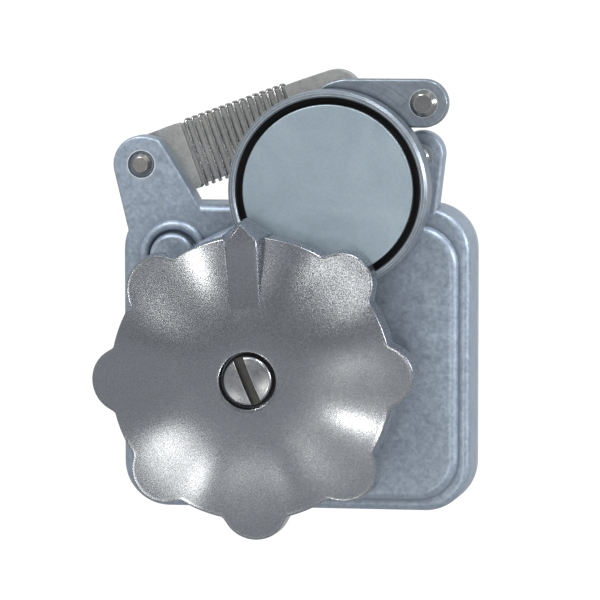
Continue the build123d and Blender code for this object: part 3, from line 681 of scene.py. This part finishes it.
# ---- pin ends ------------------------------------------------------------------------------------
# The pivot pin and the drive pin are turned steel, with a wide bright chamfer on the end that
# shows. The first is pressed into the left ear from behind, the second into the arm's lug.
LINK_PIVOT = (-26.0, 41.9)
DRIVE_PIN = (33.1, 55.0)
pivot_steel = bare_metal("pivot_steel", (0.22, 0.215, 0.21), (0.42, 0.41, 0.40), (0.95, 0.95, 0.94),
                         roughness=0.26, metallic=0.9, blotch=700, grain=4500, bump=0.15, edge=0.25,
                         turned_on=LINK_PIVOT)
drive_steel = bare_metal("drive_steel", (0.16, 0.165, 0.17), (0.30, 0.305, 0.31), (0.95, 0.95, 0.95),
                         roughness=0.24, metallic=0.9, blotch=700, grain=4500, bump=0.12, edge=0.25,
                         turned_on=DRIVE_PIN)
pivot_pin = turned_blank("pivot_pin_turned", [
    (0, 14.0), (1.42, 14.0), (1.55, 13.94), (2.12, 13.25), (2.2, 13.05), (2.2, 1.6), (1.6, 1.6),
    (1.6, 0.0), (0, 0.0)], 64, LINK_PIVOT)
smooth_sides(pivot_pin, 15)
pivot_pin.data.materials.append(pivot_steel)
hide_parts("link_pivot_pin")
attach(pivot_pin, "housing")
stem = turned_blank("drive_pin_turned", [
    (0, 19.4), (1.78, 19.4), (1.92, 19.33), (2.72, 18.5), (2.8, 18.3), (2.8, 14.9), (2.5, 14.9),
    (2.5, 6.4), (2.0, 5.9), (0, 5.9)], 64, DRIVE_PIN)
smooth_sides(stem, 15)
stem.data.materials.append(drive_steel)
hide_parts("drive_pin")
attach(stem, "arm")


# ---- link: yoke, sliding bar and wound wire ---------------------------------------------------
# Two sintered steel pieces slide into each other and hang between the ear and the arm. Bright
# spring wire is wound flat round the bar, and pushes them apart.
sintered_steel = bare_metal("sintered_steel", (0.21, 0.218, 0.217), (0.37, 0.377, 0.378),
                            (0.55, 0.56, 0.55), roughness=0.55, metallic=0.45, blotch=420,
                            grain=2600, bump=0.4, edge=0.3, share=0.5)
finish(sintered_steel, "link_yoke", "link_bar")
CRANK = (13.4, 56.2)
LINK_TURN = math.atan2(CRANK[1] - LINK_PIVOT[1], CRANK[0] - LINK_PIVOT[0])
COIL_START, COIL_END = 9.3, 32.5
COIL_TOP, COIL_BOTTOM = 5.95, -8.75
COIL_BACK, COIL_FRONT = 2.51, 6.49
COIL_TURNS = 15
WIRE = 0.32                       # radius
CORNER = 0.75                     # radius of the bend at each corner of the bar
BENDS = 6                         # points round each corner


def on_link(along, across, depth):
    """A point given along and across the link, in the part's own frame."""
    x = LINK_PIVOT[0] + along * math.cos(LINK_TURN) - across * math.sin(LINK_TURN)
    z = LINK_PIVOT[1] + along * math.sin(LINK_TURN) + across * math.cos(LINK_TURN)
    return Vector((x, -depth, z)) * MM


def one_turn():
    """One turn as (across, depth, bend) round its four rounded corners, from the lower back one."""
    low, high = COIL_BOTTOM + WIRE + CORNER, COIL_TOP - WIRE - CORNER
    back, front = COIL_BACK + WIRE + CORNER, COIL_FRONT - WIRE - CORNER
    middles = ((low, back, 90), (low, front, 180), (high, front, 270), (high, back, 0))
    points = []
    for across, depth, start in middles:
        for step in range(BENDS):
            points.append((across, depth, math.radians(start + step * 90 / (BENDS - 1))))
    return points


let_go()
bpy.ops.curve.primitive_bezier_curve_add()
coil = bpy.context.object
coil.name = "wound_wire"
coil.data.splines.clear()
strand = coil.data.splines.new("POLY")
turn_points = one_turn()
path = []
pitch = (COIL_END - COIL_START - 2 * WIRE) / COIL_TURNS
for turn in range(COIL_TURNS):
    for index, (across, depth, bend) in enumerate(turn_points):
        along = COIL_START + WIRE + (turn + index / len(turn_points)) * pitch
        path.append(on_link(along, across + CORNER * math.cos(bend), depth - CORNER * math.sin(bend)))
strand.points.add(len(path) - 1)
for point, place in zip(strand.points, path):
    point.co = (*place, 1)
coil.data.dimensions = "3D"
coil.data.bevel_depth = WIRE * MM
coil.data.bevel_resolution = 2
coil.data.use_fill_caps = True
coil.location = (0, 0, 0)
bpy.ops.object.convert(target="MESH")
smooth_sides(coil, 60)
spring_wire = bare_metal("spring_wire", (0.28, 0.28, 0.28), (0.50, 0.50, 0.50), (0.75, 0.75, 0.75),
                         roughness=0.22, metallic=0.95, blotch=500, grain=3000, bump=0.2, edge=0.1)
coil.data.materials.append(spring_wire)
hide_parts("link_spring")
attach(coil, "yoke")
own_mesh(coil)
